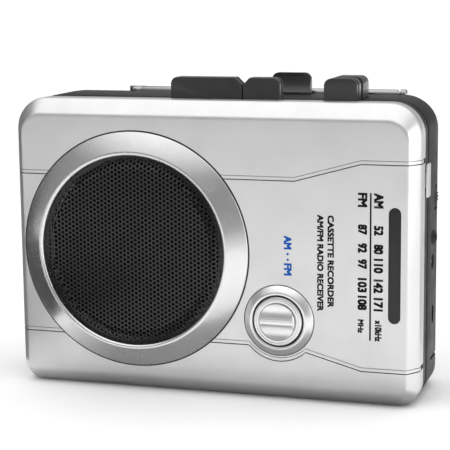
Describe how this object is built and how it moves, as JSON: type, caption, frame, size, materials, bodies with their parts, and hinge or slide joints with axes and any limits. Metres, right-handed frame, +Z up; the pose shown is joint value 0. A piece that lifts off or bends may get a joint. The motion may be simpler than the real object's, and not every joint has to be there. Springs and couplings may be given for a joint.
{
  "type": "cassette player",
  "caption": "Pocket cassette player with a two-band radio: ringed speaker, band selector, dial window, top keys, rear tape door and folding aerial.",
  "frame": {"origin": "centre of the bounding box's footprint, on the surface that the player stands on", "axes": "+X to the right across the front, +Y from the front to the tape door, +Z up"},
  "size_m": [0.1194, 0.039, 0.0895],
  "materials": {
    "silver_plastic": "metallic silver paint on moulded plastic, satin",
    "charcoal_plastic": "fine matt texture",
    "key_plastic": "satin moulded",
    "wheel_plastic": "knurled rim",
    "black_plastic": "moulded",
    "white_plastic": "acetal, slightly glossy",
    "orange_plastic": "moulded",
    "smoked_plastic": "smoked clear acrylic",
    "grille_metal": "perforated steel, black paint",
    "satin_metal": "spun and satin finished",
    "steel": "zinc plated",
    "chrome": "polished",
    "brass": "turned",
    "copper_wire": "enamelled winding",
    "belt_rubber": "smooth",
    "ferrite": "sintered, dull",
    "cone_paper": "pressed paper",
    "board_laminate": "solder mask",
    "cell_jacket": "printed steel jacket, plain"
  },
  "bodies": {
    "case": {"front_shell": "silver_plastic", "rear_shell": "charcoal_plastic", "speaker_bezel": "satin_metal", "speaker_grille": "grille_metal", "deck_chassis": "steel", "speaker_basket": "steel", "speaker_cone": "cone_paper", "speaker_magnet": "ferrite", "circuit_board": "board_laminate", "band_switch": "black_plastic", "dial_plate": "white_plastic", "tuning_capacitor": "white_plastic", "volume_pot": "black_plastic", "function_switch": "black_plastic", "ferrite_rod": "ferrite", "ferrite_coil": "copper_wire", "microphone": "steel", "motor": "steel", "drive_belt": "belt_rubber", "battery_cell_1": "cell_jacket", "battery_cell_2": "cell_jacket", "battery_spring": "steel", "battery_contact": "steel", "case_screw_1": "steel", "case_screw_2": "steel", "deck_screw_1": "steel", "deck_screw_2": "steel", "door_hinge_pin": "steel", "antenna_pin": "steel", "antenna_bracket": "steel", "remote_jack": "black_plastic", "earphone_jack": "black_plastic", "dial_window": "smoked_plastic", "selector_bezel": "satin_metal"},
    "cassette_door": {"cassette_door": "charcoal_plastic", "door_window": "smoked_plastic"},
    "battery_door": {"battery_door": "charcoal_plastic"},
    "door_latch": {"door_latch": "black_plastic"},
    "band_knob": {"band_knob": "satin_metal"},
    "tuning_wheel": {"tuning_wheel": "wheel_plastic"},
    "dial_pointer": {"dial_pointer": "orange_plastic"},
    "volume_wheel": {"volume_wheel": "wheel_plastic"},
    "function_slider": {"function_slider": "satin_metal"},
    "antenna_tube": {"antenna_tube": "chrome"},
    "antenna_middle": {"antenna_middle": "chrome"},
    "antenna_tip": {"antenna_tip": "chrome"},
    "motor_pulley": {"motor_pulley": "brass"},
    "flywheel": {"flywheel": "brass"},
    "idler_gear": {"idler_gear": "white_plastic"},
    "takeup_spindle": {"takeup_spindle": "white_plastic"},
    "supply_spindle": {"supply_spindle": "white_plastic"},
    "head_bridge": {"head_bridge": "steel", "play_head": "satin_metal", "erase_head": "black_plastic"},
    "pinch_arm": {"pinch_arm": "steel"},
    "pinch_roller": {"pinch_roller": "belt_rubber"},
    "play_key": {"play_key": "key_plastic"},
    "fast_forward_key": {"fast_forward_key": "key_plastic"},
    "record_key": {"record_key": "key_plastic"},
    "stop_eject_key": {"stop_eject_key": "key_plastic"}
  },
  "joints": [
    {"name": "play_key_press", "type": "slide", "parent": "case", "child": "play_key", "axis": [0, 0, -1], "range_m": [0, 0.0035], "stiffness_N_per_m": 150},
    {"name": "fast_forward_key_press", "type": "slide", "parent": "case", "child": "fast_forward_key", "axis": [0, 0, -1], "range_m": [0, 0.0035], "stiffness_N_per_m": 150},
    {"name": "record_key_press", "type": "slide", "parent": "case", "child": "record_key", "axis": [0, 0, -1], "range_m": [0, 0.0035], "stiffness_N_per_m": 150},
    {"name": "stop_eject_key_press", "type": "slide", "parent": "case", "child": "stop_eject_key", "axis": [0, 0, -1], "range_m": [0, 0.0035], "stiffness_N_per_m": 150},
    {"name": "door_latch_drop", "type": "slide", "parent": "case", "child": "door_latch", "axis": [0, 0, -1], "range_m": [0, 0.002]},
    {"name": "cassette_door_open", "type": "hinge", "parent": "case", "child": "cassette_door", "pos_m": [0, 0.0176, 0.0118], "axis": [-1, 0, 0], "range_deg": [0, 45]},
    {"name": "battery_door_open", "type": "hinge", "parent": "case", "child": "battery_door", "pos_m": [0, 0.00275, 0.00075], "axis": [1, 0, 0], "range_deg": [0, 90]},
    {"name": "band_knob_turn", "type": "hinge", "parent": "case", "child": "band_knob", "pos_m": [0.02035, -0.0162, 0.0231], "axis": [0, 1, 0], "range_deg": [0, 45]},
    {"name": "function_slide", "type": "slide", "parent": "case", "child": "function_slider", "axis": [0, 0, 1], "range_m": [-0.0015, 0.0015]},
    {"name": "tuning_turn", "type": "hinge", "parent": "case", "child": "tuning_wheel", "pos_m": [0.0528, 0.0103, 0.05515], "axis": [0, 1, 0], "range_deg": [-135, 135]},
    {"name": "dial_pointer_travel", "type": "slide", "parent": "case", "child": "dial_pointer", "axis": [0, 0, 1], "range_m": [-0.0132, 0.0132]},
    {"name": "volume_turn", "type": "hinge", "parent": "case", "child": "volume_wheel", "pos_m": [-0.05275, -0.0044, 0.068], "axis": [0, 1, 0], "range_deg": [0, 270]},
    {"name": "antenna_fold", "type": "hinge", "parent": "case", "child": "antenna_tube", "pos_m": [-0.0336, 0.017, 0.0834], "axis": [0, -1, 0], "range_deg": [0, 90]},
    {"name": "antenna_middle_pull", "type": "slide", "parent": "antenna_tube", "child": "antenna_middle", "axis": [1, 0, 0], "range_m": [0, 0.06]},
    {"name": "antenna_tip_pull", "type": "slide", "parent": "antenna_middle", "child": "antenna_tip", "axis": [1, 0, 0], "range_m": [0, 0.06]},
    {"name": "flywheel_spin", "type": "hinge", "parent": "case", "child": "flywheel", "pos_m": [0.0176, -0.0042, 0.062], "axis": [0, 1, 0], "continuous": true},
    {"name": "motor_pulley_spin", "type": "hinge", "parent": "case", "child": "motor_pulley", "pos_m": [0.0415, -0.0072, 0.063], "axis": [0, 1, 0], "continuous": true},
    {"name": "idler_spin", "type": "hinge", "parent": "case", "child": "idler_gear", "pos_m": [0.02625, -0.001, 0.0515], "axis": [0, 1, 0], "continuous": true},
    {"name": "takeup_spin", "type": "hinge", "parent": "case", "child": "takeup_spindle", "pos_m": [0.01525, 0.0018, 0.0348], "axis": [0, 1, 0], "continuous": true},
    {"name": "supply_spin", "type": "hinge", "parent": "case", "child": "supply_spindle", "pos_m": [-0.02725, 0.0018, 0.0348], "axis": [0, 1, 0], "continuous": true},
    {"name": "head_bridge_slide", "type": "slide", "parent": "case", "child": "head_bridge", "axis": [0, 0, -1], "range_m": [0, 0.003]},
    {"name": "pinch_arm_swing", "type": "hinge", "parent": "case", "child": "pinch_arm", "pos_m": [0.034, 0.0043, 0.072], "axis": [0, -1, 0], "range_deg": [0, 22.5]},
    {"name": "pinch_roller_spin", "type": "hinge", "parent": "pinch_arm", "child": "pinch_roller", "pos_m": [0.0176, 0.0078, 0.0736], "axis": [0, 1, 0], "continuous": true}
  ],
  "couplings": [
    {"joint": "door_latch_drop", "follows": "stop_eject_key_press", "ratio": 0.5714},
    {"joint": "head_bridge_slide", "follows": "play_key_press", "ratio": 0.85},
    {"joint": "pinch_arm_swing", "follows": "play_key_press", "rad_per_m": 108},
    {"joint": "dial_pointer_travel", "follows": "tuning_turn", "m_per_rad": -0.0055},
    {"joint": "motor_pulley_spin", "follows": "flywheel_spin", "ratio": 3.6667},
    {"joint": "idler_spin", "follows": "flywheel_spin", "ratio": -0.7},
    {"joint": "takeup_spin", "follows": "flywheel_spin", "ratio": 0.46667}
  ]
}
